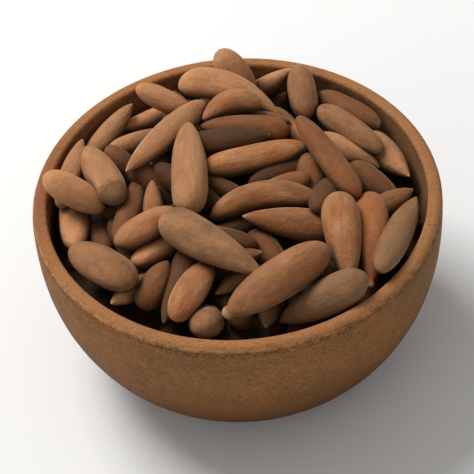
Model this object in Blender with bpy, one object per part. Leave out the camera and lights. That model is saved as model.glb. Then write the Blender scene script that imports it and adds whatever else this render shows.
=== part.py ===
"""Turned wooden bowl heaped with long pine nuts in their shells.

Metres, +Z up. The origin is at the middle of the bowl's foot.
"""
import math
from collections import namedtuple

import bmesh
import bpy
import numpy as np

MM = 0.001

# The bowl.
RIM_RADIUS = 40.5 * MM
BOWL_HEIGHT = 40 * MM
FOOT_RADIUS = 17 * MM
CAVITY_RADIUS = 37.6 * MM
CAVITY_DEPTH = 35 * MM
FLOOR_RADIUS = 12 * MM
LIP_INNER_ROUNDING = 0.7 * MM
LIP_OUTER_ROUNDING = 1.5 * MM
SIDE_BELLY = 2.7
SIDE_TURN = 1.8
SIDE_BULGE = 0.2 * MM
BULGE_DEPTH = 0.6
SIDE_STEPS = 10
SIDE_CROWDING = 1.7
LIP_STEPS = 3
LIP_DEPTH = 2.2 * MM
TURN_STEPS = 52
MERGE_DISTANCE = 0.01 * MM
SHARP_ANGLE = math.radians(50)

# The heap. Heights in it are counted from the plane of the rim.
HEAP_CROWN = 8 * MM
HEAP_EDGE = 1.5 * MM
HEAP_EDGE_RADIUS = 33 * MM
HEAP_FALL = 2.2
HEAP_RADIUS = 36.5 * MM
CORE_UNDER_TOP = 6.6 * MM
CORE_STEPS = 40
CORE_TOP_STEPS = 5
GAP = 0.3 * MM
CORE_GAP = 0.7 * MM

# The view that the nuts' ends are read in: its size in pixels and the eye's place.
VIEW_MIDDLE = 237.0
VIEW_FOCAL = 950.0
VIEW_PITCH = math.radians(49.6)
VIEW_DISTANCE = 393 * MM
RIM_CENTRE_PIXEL = (172.0, 172.3)
VIEW_SETTLE_STEPS = 12

# A nut's shape: its widest place, as a share of the half length from the middle, and its ends.
WIDEST_AT = -0.2
BLUNT_POWER = 2.6
TIP_POWER = 2.0
TIP_FINENESS = 0.7
NUT_FLATNESS = 0.9
NUT_SIDES = 7
NUT_RINGS = (-0.86, -0.45, 0.05, 0.5, 0.86)
NUT_SWELL = 0.25 * MM

# Nuts of which only a little shows, spread between the others.
FILLER_COUNT = 40
FILLER_SEED = 11
FILLER_REACH = 32 * MM
FILLER_LENGTHS = (17 * MM, 22 * MM)
FILLER_GIRTHS = (4.8 * MM, 6.0 * MM)
FILLER_UNDER = 3.6 * MM
FILLER_ROOM = 1.5 * MM
HIDING_SHARE = 0.9
GOLDEN_ANGLE = math.pi * (3 - math.sqrt(5))

# How the nuts are eased apart until they only touch.
EASE_ROUNDS = 120
EASE_SHARES = (-0.8, -0.4, 0.0, 0.4, 0.8)
EASE_STEP = 0.25
WALL_STEP = 0.5
TOUCH_SHARE = 0.93
FILLER_LOOSENESS = 1.0
READ_LOOSENESS = 0.12
LIP_REACH = 0.6
NO_LENGTH = 0.000001 * MM

BOWL_COLOUR = (0.29, 0.13, 0.05, 1)
BOWL_ROUGHNESS = 0.6
NUT_COLOUR = (0.40, 0.19, 0.095, 1)
NUT_ROUGHNESS = 0.65

# Each nut's blunt end and tip in the view's pixels, its girth in mm, how far its upper side
# lies under the heap's top at either end in mm, and how much it is bowed in mm.
Nut = namedtuple("Nut", "blunt tip girth blunt_under tip_under bow", defaults=(0.0,))

NUTS = (
    # At the back, from left to right.
    Nut((123.5, 121.5), (158, 138), 4.9, 1.0, 6.0),
    Nut((101, 156), (122, 130), 4.6, 4.0, 1.0),
    Nut((150, 129), (115.5, 141), 4.2, 8.0, 3.0),
    Nut((110, 152), (142, 142), 4.6, 3.0, 8.0),
    Nut((157, 129), (118.5, 162.5), 5.9, 0.0, 0.0),
    Nut((164, 105), (182, 125), 6.2, -1.0, 9.0),
    Nut((145.5, 116), (195, 135), 6.8, 2.3, 2.3, 2.2),
    Nut((172, 128), (196.5, 113.5), 4.6, 9.5, 1.5),
    Nut((183, 127.5), (155, 135), 5.3, 0.8, 1.5, 1.8),
    Nut((168, 137.5), (198, 138), 4.6, 4.5, 4.5),
    Nut((197.5, 143), (154, 140.5), 5.9, 2.0, 2.0),
    Nut((205.5, 137), (201.5, 111.5), 5.8, 3.0, 0.5),
    Nut((187, 132), (208, 150), 4.4, 5.5, 5.0),
    # Down the left side.
    Nut((86, 180), (95.5, 146), 4.6, 5.0, 2.4),
    Nut((116.5, 177.5), (98.5, 151.5), 6.5, 0.5, 0.5),
    Nut((78, 164.5), (108, 180.5), 6.2, 0.0, 3.5),
    Nut((93.5, 196.5), (90.5, 162), 6.2, 2.5, 5.0),
    Nut((124, 217), (92.5, 199), 7.4, 0.0, 0.0),
    Nut((133, 212), (111.5, 224.5), 4.4, 6.5, 1.0),
    Nut((115, 196), (126, 163), 4.9, 3.0, 5.0),
    Nut((114, 197.5), (143, 180.5), 5.8, 1.5, 0.8),
    Nut((110, 200), (99, 170), 4.8, 4.5, 7.0),
    # Across the middle.
    Nut((133, 196), (131.5, 166.5), 4.6, 6.0, 3.5),
    Nut((138, 142), (134, 171), 4.4, 4.5, 4.0),
    Nut((149.5, 181.5), (148.5, 139), 7.0, 0.0, 0.0),
    Nut((138, 186), (186, 213), 8.0, 0.0, 0.0),
    Nut((156, 161), (205, 150), 5.7, 3.0, 3.0),
    Nut((178, 168), (220, 155), 4.8, 5.5, 5.5),
    Nut((159, 181.5), (211, 173), 5.7, 3.0, 1.0, 2.5),
    Nut((220, 189.5), (174.5, 183), 6.7, 3.0, 2.0),
    Nut((178, 192), (196, 212), 5.7, 6.5, 5.5),
    # Down the right side.
    Nut((211.5, 125), (241, 140), 5.3, 2.5, 2.5),
    Nut((211, 132.5), (240, 153.5), 5.5, 1.5, 1.5),
    Nut((232, 145), (255.5, 165), 6.8, 3.5, 2.0),
    Nut((211, 145), (241, 160), 5.2, 3.5, 4.0),
    Nut((230, 174.5), (201.5, 136.5), 5.1, 0.0, 0.0),
    Nut((228, 159), (251, 179), 5.7, 5.0, 3.0),
    Nut((232, 184), (256, 171), 4.6, 7.0, 3.0),
    Nut((219.8, 174), (226, 217), 7.2, -0.5, -0.5),
    Nut((237, 173.5), (237.5, 216.5), 6.8, 0.0, 0.0),
    Nut((243.5, 212), (258.5, 176), 5.7, 1.0, 1.0),
    # Along the front, from left to right.
    Nut((121.5, 206.5), (152, 190), 4.9, 2.5, 6.0),
    Nut((127, 228), (140, 205), 5.7, 4.0, 2.5),
    Nut((136, 229), (152, 216), 4.4, 5.0, 7.0),
    Nut((141.5, 234), (160, 203), 6.1, 1.0, 3.5),
    Nut((157.5, 236), (157.5, 230), 6.6, -2.5, 13.0),
    Nut((188, 203), (161, 221), 4.4, 8.0, 4.5),
    Nut((214, 198), (164, 231), 8.0, 0.0, 0.0),
    Nut((169, 229), (180, 236), 4.6, 5.0, 6.0),
    Nut((191, 214), (186, 237), 4.8, 7.0, 4.5),
    Nut((238.5, 217.5), (193.5, 236), 7.2, 2.5, 2.5),
)

FORWARD = np.array((0.0, math.cos(VIEW_PITCH), -math.sin(VIEW_PITCH)))
UPWARD = np.array((0.0, math.sin(VIEW_PITCH), math.cos(VIEW_PITCH)))
RIGHTWARD = np.array((1.0, 0.0, 0.0))


def clear_scene():
    for obj in list(bpy.data.objects):
        bpy.data.objects.remove(obj)


def add_object(name, mesh):
    obj = bpy.data.objects.new(name, mesh)
    bpy.context.scene.collection.objects.link(obj)
    return obj


def add_material(obj, name, colour, roughness):
    material = bpy.data.materials.new(name)
    material.use_nodes = True
    shader = material.node_tree.nodes["Principled BSDF"]
    shader.inputs["Base Color"].default_value = colour
    shader.inputs["Roughness"].default_value = roughness
    shader.inputs["Metallic"].default_value = 0.0
    obj.data.materials.append(material)


def shade_round(mesh):
    mesh.shade_smooth()
    mesh.set_sharp_from_angle(angle=SHARP_ANGLE)


# Turned shapes

def turned(name, profile, steps):
    """A solid turned round Z from a profile of (radius, height) that ends on the axis twice."""
    mesh = bpy.data.meshes.new(name)
    points = [(radius, 0.0, height) for radius, height in profile]
    mesh.from_pydata(points, [(k, k + 1) for k in range(len(points) - 1)], [])
    obj = add_object(name, mesh)
    screw = obj.modifiers.new("Turn", "SCREW")
    screw.axis = "Z"
    screw.angle = 2 * math.pi
    screw.steps = steps
    screw.render_steps = steps
    screw.use_merge_vertices = True
    screw.merge_threshold = MERGE_DISTANCE
    apply_modifiers(obj)
    return obj


def apply_modifiers(obj):
    view = bpy.context.evaluated_depsgraph_get()
    mesh = bpy.data.meshes.new_from_object(obj.evaluated_get(view))
    obj.modifiers.clear()
    obj.data = mesh


def side_radius(share, end_radius, rim_radius):
    """Radius of a rounded side at a share of its depth, from the rim down to its foot."""
    belly = (1 - share ** SIDE_BELLY) ** (1 / SIDE_TURN)
    return end_radius + (rim_radius - end_radius) * belly


def bulge(share):
    """How far the outer side swells beyond the rim at a share of its depth."""
    return SIDE_BULGE * math.sin(math.pi * min(share / BULGE_DEPTH, 1))


def depth_shares(top_share):
    """Steps down a side from a share of its depth to its foot, closer where it turns in."""
    ways = [step / (SIDE_STEPS - 1) for step in range(SIDE_STEPS)]
    return [1 - (1 - top_share) * (1 - way) ** SIDE_CROWDING for way in ways]


def cavity_profile(gap, top_share):
    """The hollow's side from its floor's edge up to a share of its depth under the rim."""
    points = []
    for share in reversed(depth_shares(top_share)):
        radius = side_radius(share, FLOOR_RADIUS, CAVITY_RADIUS)
        points.append((radius - gap, BOWL_HEIGHT - CAVITY_DEPTH * share + gap * share))
    return points


def lip_profile(grow):
    """The rounded lip, from the hollow's side over the top to the outer side."""
    points = []
    for rounding, centre, start, end in (
            (LIP_INNER_ROUNDING, CAVITY_RADIUS + LIP_INNER_ROUNDING, 180, 90),
            (LIP_OUTER_ROUNDING, RIM_RADIUS - LIP_OUTER_ROUNDING, 90, 0)):
        for step in range(LIP_STEPS + 1):
            angle = math.radians(start + (end - start) * step / LIP_STEPS)
            radius = centre + (rounding + grow) * math.cos(angle)
            height = BOWL_HEIGHT - rounding + (rounding + grow) * math.sin(angle)
            points.append((radius, height))
    return points


def bowl_profile(grow=0.0):
    """The bowl's section, from the floor of its hollow over the lip to the foot."""
    inside = cavity_profile(grow, LIP_DEPTH / CAVITY_DEPTH)
    points = [(0.0, BOWL_HEIGHT - CAVITY_DEPTH + grow)] + inside + lip_profile(grow)
    for share in depth_shares(LIP_DEPTH / BOWL_HEIGHT):
        radius = side_radius(share, FOOT_RADIUS, RIM_RADIUS) + bulge(share)
        points.append((radius + grow, BOWL_HEIGHT * (1 - share) - grow * share))
    points.append((0.0, -grow))
    return points


def core_profile():
    """The heap's bare core: the hollow's side, and a low dome under the nuts."""
    edge_radius = CAVITY_RADIUS - CORE_GAP
    edge_share = (CORE_UNDER_TOP - HEAP_EDGE) / CAVITY_DEPTH
    points = []
    for step in range(CORE_TOP_STEPS):
        radius = edge_radius * step / CORE_TOP_STEPS
        points.append((radius, BOWL_HEIGHT + heap_top(radius) - CORE_UNDER_TOP))
    points += reversed(cavity_profile(CORE_GAP, edge_share))
    points.append((0.0, BOWL_HEIGHT - CAVITY_DEPTH + CORE_GAP))
    return points


# Where the nuts lie

def heap_top(radius):
    """Height of the heap's top over the rim's plane, at a distance from the bowl's axis."""
    share = min(radius / HEAP_EDGE_RADIUS, 1.0)
    return HEAP_CROWN - (HEAP_CROWN - HEAP_EDGE) * share ** HEAP_FALL


def line_of_sight(pixel):
    right = (pixel[0] - VIEW_MIDDLE) / VIEW_FOCAL
    down = (pixel[1] - VIEW_MIDDLE) / VIEW_FOCAL
    line = FORWARD + right * RIGHTWARD - down * UPWARD
    return line / np.linalg.norm(line)


EYE = -VIEW_DISTANCE * line_of_sight(RIM_CENTRE_PIXEL)


def place_end(pixel, girth, under):
    """Where the line of sight through a pixel meets the nut's level in the heap."""
    line = line_of_sight(pixel)
    height = 0.0
    for _ in range(VIEW_SETTLE_STEPS):
        point = EYE + line * ((height - EYE[2]) / line[2])
        radius = math.hypot(point[0], point[1])
        height = heap_top(radius) - girth / 2 - under
        if radius > HEAP_RADIUS:
            height = max(height, girth / 2)
    return point


def girth_share(share):
    """Share of the full girth at a share of the half length, from -1 (blunt) to 1 (tip)."""
    behind = np.maximum(WIDEST_AT - share, 0) / (1 + WIDEST_AT)
    ahead = np.maximum(share - WIDEST_AT, 0) / (1 - WIDEST_AT)
    blunt = np.sqrt(np.maximum(1 - behind ** BLUNT_POWER, 0))
    tip = np.maximum(1 - ahead ** TIP_POWER, 0) ** TIP_FINENESS
    return np.minimum(blunt, tip)


def filler_nuts():
    """Ends and girths of nuts laid at random headings on a spiral round the bowl's axis."""
    draw = np.random.default_rng(FILLER_SEED)
    ends = []
    girths = []
    for index in range(FILLER_COUNT):
        distance = FILLER_REACH * math.sqrt((index + 0.5) / FILLER_COUNT)
        turn = GOLDEN_ANGLE * index
        girth = draw.uniform(*FILLER_GIRTHS)
        half = draw.uniform(*FILLER_LENGTHS) / 2
        heading = draw.uniform(0, 2 * math.pi)
        height = heap_top(distance) - girth / 2 - FILLER_UNDER
        middle = np.array((distance * math.cos(turn), distance * math.sin(turn), height))
        along = np.array((math.cos(heading), math.sin(heading), 0.0))
        ends.append((middle - along * half, middle + along * half))
        girths.append(girth)
    return ends, girths


def ease_apart(ends, girths, looseness):
    """Slides the nuts along the lines of sight until they touch instead of crossing.

    A looser nut gives way to a firmer one, and looseness is also the share of a push
    that moves a nut off its line of sight.
    """
    ends = ends.copy()
    count = len(ends)
    shares = np.array(EASE_SHARES)
    tip_weight = (shares + 1) / 2
    blunt_weight = 1 - tip_weight
    radii = (girths[:, None] / 2 * girth_share(shares)).ravel()
    owner = np.repeat(np.arange(count), len(shares))
    give = looseness[owner]
    give_way = 2 * EASE_STEP * give[:, None] / (give[:, None] + give)
    give_way[owner[:, None] == owner] = 0
    lengths = np.linalg.norm(ends[:, 1] - ends[:, 0], axis=1)
    sight = ends.mean(axis=1) - EYE
    sight /= np.linalg.norm(sight, axis=1, keepdims=True)
    for _ in range(EASE_ROUNDS):
        beads = (ends[:, :1] * blunt_weight[:, None] + ends[:, 1:] * tip_weight[:, None]).reshape(-1, 3)
        apart = beads[:, None] - beads
        distance = np.linalg.norm(apart, axis=2) + NO_LENGTH
        crossing = np.maximum(TOUCH_SHARE * (radii[:, None] + radii) - distance, 0) * give_way
        push = (apart / distance[..., None] * crossing[..., None]).sum(axis=1)
        push += push_off_bowl(beads, radii)
        push = push.reshape(count, len(shares), 3)
        along = (push * sight[:, None]).sum(axis=2, keepdims=True) * sight[:, None]
        push = along + looseness[:, None, None] * (push - along)
        ends[:, 0] += (push * blunt_weight[:, None]).sum(axis=1) / blunt_weight.sum()
        ends[:, 1] += (push * tip_weight[:, None]).sum(axis=1) / tip_weight.sum()
        middle = ends.mean(axis=1)
        half = ends[:, 1] - middle
        half *= (lengths / 2 / np.linalg.norm(half, axis=1))[:, None]
        ends[:, 0] = middle - half
        ends[:, 1] = middle + half
    return ends


def push_off_bowl(beads, radii):
    """Pushes what comes too near the wall inwards, and what lies over the lip upwards."""
    push = np.zeros_like(beads)
    distance = np.hypot(beads[:, 0], beads[:, 1]) + NO_LENGTH
    beyond = distance + radii - HEAP_RADIUS
    below = beads[:, 2] < LIP_REACH * radii
    inward = np.where((beyond > 0) & below, beyond, 0) * WALL_STEP
    push[:, :2] = -beads[:, :2] / distance[:, None] * inward[:, None]
    lift = np.maximum(radii - beads[:, 2], 0) * WALL_STEP
    push[:, 2] = np.where((beyond > 0) & ~below, lift, 0)
    return push


Lying = namedtuple("Lying", "ends girth bow")


def settled_nuts():
    """The nuts as they lie: those on top, and what shows of those between."""
    ends, girths = filler_nuts()
    filler_count = len(ends)
    looseness = [FILLER_LOOSENESS] * filler_count
    bows = [0.0] * filler_count
    for nut in NUTS:
        girth = nut.girth * MM
        blunt = place_end(nut.blunt, girth, nut.blunt_under * MM)
        tip = place_end(nut.tip, girth, nut.tip_under * MM)
        ends.append((blunt, tip))
        girths.append(girth)
        looseness.append(READ_LOOSENESS)
        bows.append(nut.bow * MM)
    ends = ease_apart(np.array(ends), np.array(girths), np.array(looseness))
    nuts = [Lying(*nut) for nut in zip(ends, girths, bows)]
    on_top = nuts[filler_count:]
    between = [nut for nut in nuts[:filler_count] if not has_risen(nut)]
    return on_top + without_hiding(between, on_top)


def has_risen(nut):
    """Whether a nut has been squeezed up among the nuts on top."""
    middle = nut.ends.mean(axis=0)
    room = heap_top(math.hypot(middle[0], middle[1])) - middle[2] - nut.girth / 2
    return room < FILLER_ROOM


def beads_along(nuts):
    """Places and radii of a row of beads down each nut."""
    shares = np.array(EASE_SHARES)
    ends = np.array([nut.ends for nut in nuts])
    girths = np.array([nut.girth for nut in nuts])
    weights = (shares + 1)[:, None] / 2
    places = ends[:, :1] * (1 - weights) + ends[:, 1:] * weights
    return places, girths[:, None] / 2 * girth_share(shares)


def hidden(behind, places, radii):
    """Which of the points behind lie on a line of sight that meets a bead in front."""
    ahead = places - EYE
    reach = np.linalg.norm(ahead, axis=1)
    ahead /= reach[:, None]
    back = behind - EYE
    distance = back @ ahead.T
    miss = np.linalg.norm(back[:, None] - distance[..., None] * ahead, axis=2)
    return ((miss < HIDING_SHARE * radii) & (distance > reach + radii)).any(axis=1)


def without_hiding(between, on_top):
    """Leaves out the nuts between that hide the middle line of a nut on top."""
    places, radii = beads_along(on_top)
    shown = []
    for index in range(len(on_top)):
        others = np.arange(len(on_top)) != index
        shown.append(~hidden(places[index], places[others].reshape(-1, 3), radii[others].ravel()))
    middles = places[np.array(shown)]
    kept = []
    for nut in between:
        beads, bead_radii = beads_along([nut])
        if not hidden(middles, beads[0], bead_radii[0]).any():
            kept.append(nut)
    return kept


# The nuts' solids

def bow_at(share):
    """How far a bowed nut's middle line lies to the side, as a share of its whole bow."""
    return 0.5 - share * share


def nut_mesh(name, nut, lift):
    """One nut as rings of corners from its blunt end to its tip."""
    blunt, tip = nut.ends + lift
    middle = (blunt + tip) / 2
    half = (tip - blunt) / 2
    along = half / np.linalg.norm(half)
    across = np.cross(along, (0.0, 0.0, 1.0))
    across /= np.linalg.norm(across)
    over = np.cross(across, along)
    bend = np.cross(along, EYE / np.linalg.norm(EYE))
    bend *= math.copysign(1, bend[1]) / np.linalg.norm(bend)
    shape = bmesh.new()
    rings = []
    for share in NUT_RINGS:
        centre = middle + half * share + bend * nut.bow * bow_at(share)
        radius = nut.girth / 2 * float(girth_share(share)) + NUT_SWELL
        ring = []
        for side in range(NUT_SIDES):
            angle = 2 * math.pi * (side + 0.5) / NUT_SIDES
            corner = across * math.cos(angle) + over * math.sin(angle) * NUT_FLATNESS
            ring.append(shape.verts.new(centre + corner * radius))
        rings.append(ring)
    for ring, far_ring in zip(rings, rings[1:]):
        for side in range(NUT_SIDES):
            after = (side + 1) % NUT_SIDES
            shape.faces.new((ring[side], ring[after], far_ring[after], far_ring[side]))
    for ring, end in ((rings[0], -1), (rings[-1], 1)):
        peak = shape.verts.new(middle + half * end + bend * nut.bow * bow_at(end))
        for side in range(NUT_SIDES):
            shape.faces.new((ring[side], ring[(side + 1) % NUT_SIDES], peak))
    bmesh.ops.recalc_face_normals(shape, faces=shape.faces)
    bmesh.ops.triangulate(shape, faces=shape.faces)
    mesh = bpy.data.meshes.new(name)
    shape.to_mesh(mesh)
    shape.free()
    return mesh


def keep_outer_skin(mesh):
    """Drops loose scraps and the skins of hollows that fusing has shut in."""
    shape = bmesh.new()
    shape.from_mesh(mesh)
    unseen = set(shape.verts)
    skins = []
    while unseen:
        skin = {unseen.pop()}
        to_visit = list(skin)
        while to_visit:
            vertex = to_visit.pop()
            for edge in vertex.link_edges:
                other = edge.other_vert(vertex)
                if other not in skin:
                    skin.add(other)
                    to_visit.append(other)
        unseen -= skin
        skins.append(skin)
    skins.sort(key=len)
    for skin in skins[:-1]:
        for vertex in skin:
            shape.verts.remove(vertex)
    shape.to_mesh(mesh)
    shape.free()


def join_nuts(core):
    """Fuses the nuts to the core, and cuts the heap clear of the bowl."""
    nuts = bpy.data.collections.new("loose_nuts")
    bpy.context.scene.collection.children.link(nuts)
    lift = np.array((0.0, 0.0, BOWL_HEIGHT))
    for index, nut in enumerate(settled_nuts()):
        name = "nut_%02d" % index
        nuts.objects.link(bpy.data.objects.new(name, nut_mesh(name, nut, lift)))
    fuse = core.modifiers.new("Fuse", "BOOLEAN")
    fuse.operation = "UNION"
    fuse.operand_type = "COLLECTION"
    fuse.collection = nuts
    fuse.solver = "EXACT"
    cutter = turned("bowl_clearance", bowl_profile(GAP), TURN_STEPS)
    trim = core.modifiers.new("Trim", "BOOLEAN")
    trim.operation = "DIFFERENCE"
    trim.object = cutter
    trim.solver = "EXACT"
    apply_modifiers(core)
    for obj in list(nuts.objects) + [cutter]:
        bpy.data.objects.remove(obj)
    bpy.data.collections.remove(nuts)
    keep_outer_skin(core.data)


def main():
    clear_scene()
    bowl = turned("bowl", bowl_profile(), TURN_STEPS)
    shade_round(bowl.data)
    add_material(bowl, "turned wood", BOWL_COLOUR, BOWL_ROUGHNESS)
    heap = turned("nut_heap", core_profile(), CORE_STEPS)
    join_nuts(heap)
    shade_round(heap.data)
    add_material(heap, "nut shells", NUT_COLOUR, NUT_ROUGHNESS)


main()
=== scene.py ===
"""Turned wooden bowl heaped with long pine nuts in their shells, as a Blender add-on.

Metres, +Z up. The origin is at the middle of the bowl's foot.
"""
import math
from collections import namedtuple

import bpy
import numpy as np
from bpy.props import FloatProperty, FloatVectorProperty, IntProperty, PointerProperty
from mathutils import Matrix, Vector, noise


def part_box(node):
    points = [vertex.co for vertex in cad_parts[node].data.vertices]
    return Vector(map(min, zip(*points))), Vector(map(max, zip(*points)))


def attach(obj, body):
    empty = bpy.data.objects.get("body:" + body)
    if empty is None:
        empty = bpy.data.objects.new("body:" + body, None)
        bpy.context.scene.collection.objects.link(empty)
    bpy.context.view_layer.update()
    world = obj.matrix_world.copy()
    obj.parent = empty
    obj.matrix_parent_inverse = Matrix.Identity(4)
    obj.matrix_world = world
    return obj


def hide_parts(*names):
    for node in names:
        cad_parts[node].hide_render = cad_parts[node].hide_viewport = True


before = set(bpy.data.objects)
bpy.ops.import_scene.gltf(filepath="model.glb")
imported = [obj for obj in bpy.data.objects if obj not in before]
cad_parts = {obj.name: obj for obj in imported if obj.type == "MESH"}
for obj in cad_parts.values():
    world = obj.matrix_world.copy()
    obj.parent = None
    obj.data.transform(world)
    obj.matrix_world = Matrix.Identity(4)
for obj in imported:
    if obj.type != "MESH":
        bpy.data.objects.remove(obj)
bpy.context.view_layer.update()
BOWL_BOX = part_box("bowl")

bl_info = {
    "name": "Bowl of Pine Nuts",
    "version": (1, 0, 0),
    "blender": (4, 5, 0),
    "location": "View3D > Sidebar > Pine Nuts",
    "description": "Builds a turned wooden bowl heaped with pine nuts in their shells",
    "category": "Add Mesh",
}

MM = 0.001
PER_MM = 1 / MM
FULL_TURN = 2 * math.pi

# The bowl's section. Two powers round its sides, the outer side's bulge ends at a share of the
# height, and the steps down a side crowd towards its foot.
RIM_RADIUS = 40.5 * MM
BOWL_HEIGHT = BOWL_BOX[1].z
SIDE_BELLY = 2.7
SIDE_TURN = 1.8
BULGE_DEPTH = 0.6
SIDE_CROWDING = 1.7
LIP_DEPTH = 2.2 * MM

# How the hand-turned side strays from a true circle. The strays are shares of its unevenness.
WAVES_PER_METRE = 55
RIPPLES_PER_WAVE = 4
RIPPLE_SHARE = 0.4
STRAY_MEAN = 0.5
STRAY_SWING = 0.35

# Depths under the rim, in mm, between which a part of the wood's finish fades in or out.
LIP_FADE = (0.7, 0.2)
# Painted shade down the hollow fades in between these depths.
HOLLOW_SHADE_FADE = (13, 4)
PORE_ROW = (2.4, 1.9, 1.3, 0.8)
# A painted highlight along the lip's outer edge lies between these depths.
EDGE_HIGHLIGHT_BAND = (1.2, 0.9, 0.6, 0.3)

# Where along X the lip's pinkish left end, darkened with painted shade, begins to fade, and where it is
# gone.
ROSY_SHADED_END = (-39.5 * MM, -31 * MM)

# Depths of the finishes' fine relief.
WOOD_RELIEF = 0.08 * MM
SHELL_RELIEF = 0.20 * MM
CORE_RELIEF = 0.4 * MM

# The heap. Heights in it are counted from the plane of the rim, and its nuts keep inside its
# radius unless they lie on the lip.
HEAP_CROWN = 8 * MM
HEAP_EDGE = 1.5 * MM
HEAP_EDGE_RADIUS = 33 * MM
HEAP_FALL = 2.2
HEAP_RADIUS = 36.5 * MM

# The view that the nuts' ends are read in: its size in pixels and the eye's place.
VIEW_SIZE = 474.0
VIEW_MIDDLE = VIEW_SIZE / 2
VIEW_FOCAL = 950.0
VIEW_PITCH = math.radians(49.6)
VIEW_DISTANCE = 393 * MM
RIM_CENTRE_PIXEL = (172.0, 172.3)
AIM_PIXEL = (172.3, 193.5)
VIEW_SETTLE_STEPS = 12
SENSOR_WIDTH_MM = 36.0
CLIP_START = 0.01

# The stage: the lights' places, widths and tones.
KEY_PLACE = (-0.45, 0.32, 0.82)
KEY_WIDTH = 0.5
KEY_TONE = (1.0, 0.985, 0.955)
FILL_PLACE = (-0.60, -0.75, 0.50)
FILL_WIDTH = 0.6
FILL_TONE = (1.0, 0.985, 0.96)
SURROUND_TONE = (1.0, 0.975, 0.94)
FLOOR_STEPS = 72

# A nut's shape: its widest place, as a share of the half length from the middle, its ends, and
# how far each of them strays from nut to nut.
WIDEST_AT = -0.2
WIDEST_STRAY = 0.06
BLUNT_POWER = 2.6
BLUNT_STRAYS = (-0.2, 0.4)
TIP_POWER = 2.0
TIP_FINENESS = 0.7
FINENESS_STRAY = 0.05

# A nut's section: a softly squared round with keels, a few wide swells and fine furrows. Heights
# are shares of the nut's radius.
NUT_FLATNESS = 0.9
SQUARENESSES = (2.1, 2.4)
KEEL_HALF_WIDTH = 0.17
KEEL_HEIGHTS = (0.01, 0.05)
KEEL_STRAY = 0.3
TWIST_STRAY = 0.25
SWELL_HEIGHTS = (0.006, 0.022)
SWELL_DRIFTS = (0.8, 3.2)
FURROW_COUNTS = (7, 12)
FURROW_HEIGHTS = (0.0, 0.006)
FURROW_BEND = 0.8

# Nuts of which only a little shows, spread between the others. They keep clear of the lines of
# sight that show the nuts on top.
FILLER_COUNT = 40
FILLER_SEED = 11
FILLER_REACH = 32 * MM
FILLER_LENGTHS = (17 * MM, 22 * MM)
FILLER_GIRTHS = (4.8 * MM, 6.0 * MM)
FILLER_UNDER = 3.6 * MM
FILLER_ROOM = 1.5 * MM
HIDING_SHARE = 0.9
GOLDEN_ANGLE = math.pi * (3 - math.sqrt(5))

# How the nuts are eased apart until they only touch.
EASE_ROUNDS = 120
EASE_SHARES = (-0.8, -0.4, 0.0, 0.4, 0.8)
EASE_STEP = 0.25
WALL_STEP = 0.5
TOUCH_SHARE = 0.93
READ_LOOSENESS = 0.12
SETTLED_LOOSENESS = 0.001
LIP_REACH = 0.6
TINY = 1e-9

# How far off a nut can still shut another one in.
SHELTER_REACH = 18 * MM

# Each nut's blunt end and tip in the view's pixels, its girth in mm, how far its upper side
# lies under the heap's top at either end in mm, how much it is bowed in mm, and its form and tint.
Nut = namedtuple("Nut", "blunt tip girth blunt_under tip_under bow form tint",
                 defaults=(0.0, "plain", "tan"))

# A form's widest place, the fullness of its blunt end, the fineness of its tip, and the size of
# the knob at its tip as a share of the girth.
Form = namedtuple("Form", "widest_at blunt_power tip_fineness knob")
FORMS = {
    "plain": Form(-0.20, 2.7, 0.72, 0.0),
    "long": Form(-0.12, 2.9, 0.66, 0.0),
    "stick": Form(-0.05, 4.2, 0.42, 0.0),
    "barrel": Form(-0.05, 3.0, 0.48, 0.0),
    "bean": Form(0.0, 3.4, 0.38, 0.0),
    "bullet": Form(-0.15, 4.6, 0.66, 0.0),
    "club": Form(-0.45, 4.2, 0.80, 0.0),
    "spindle": Form(-0.12, 2.3, 0.85, 0.0),
    "cone": Form(-0.45, 3.0, 0.88, 0.0),
    "pear": Form(-0.42, 2.7, 0.72, 0.16),
    "knobbed": Form(-0.38, 2.7, 0.76, 0.22),
    "knotted": Form(-0.15, 3.0, 0.50, 0.34),
}

# How dusty, how reddish and how greyish a tint is, from 0 to 1, how light it is against the
# others, and how strong the dark scar at its blunt end.
Tint = namedtuple("Tint", "dust red grey light scar", defaults=(0.0,))
TINTS = {
    "pale": Tint(0.95, 0.25, 0.20, 1.05),
    # The bright tint is partly a pale shell and partly painted light that lifts nuts lying in shade.
    "bright": Tint(0.95, 0.25, 0.20, 1.55),
    "tan": Tint(0.80, 0.30, 0.20, 0.86),
    "scarred": Tint(0.80, 0.30, 0.20, 0.86, 1.0),
    "buff": Tint(0.65, 0.35, 0.25, 0.68),
    "orange": Tint(0.62, 0.62, 0.05, 0.96),
    "amber": Tint(0.66, 0.62, 0.05, 1.10),
    "red": Tint(0.42, 0.85, 0.05, 1.05),
    "rust": Tint(0.20, 0.75, 0.25, 0.66),
    "brown": Tint(0.30, 0.45, 0.30, 0.90),
    "umber": Tint(0.10, 0.45, 0.30, 0.72),
    "smoky": Tint(0.20, 0.10, 0.95, 1.0),
    "grey": Tint(0.85, 0.05, 0.75, 0.80),
    "ash": Tint(1.00, 0.05, 0.50, 0.98),
    "dark": Tint(0.00, 0.45, 0.35, 0.42),
    "burnt": Tint(0.00, 0.60, 0.10, 0.26),
}

# How far a nut's own tint and lightness stray, how far apart two nuts' patterns can be taken
# in mm, and the tints of the nuts between those on top.
TINT_STRAY = 0.08
LIGHT_STRAY = 0.02
PATTERN_SPREAD = 400
# The nuts between get dark tints, partly their own tone and partly painted shade in the gaps.
BETWEEN_TINTS = ("umber", "dark", "burnt", "rust", "dark")

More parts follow.
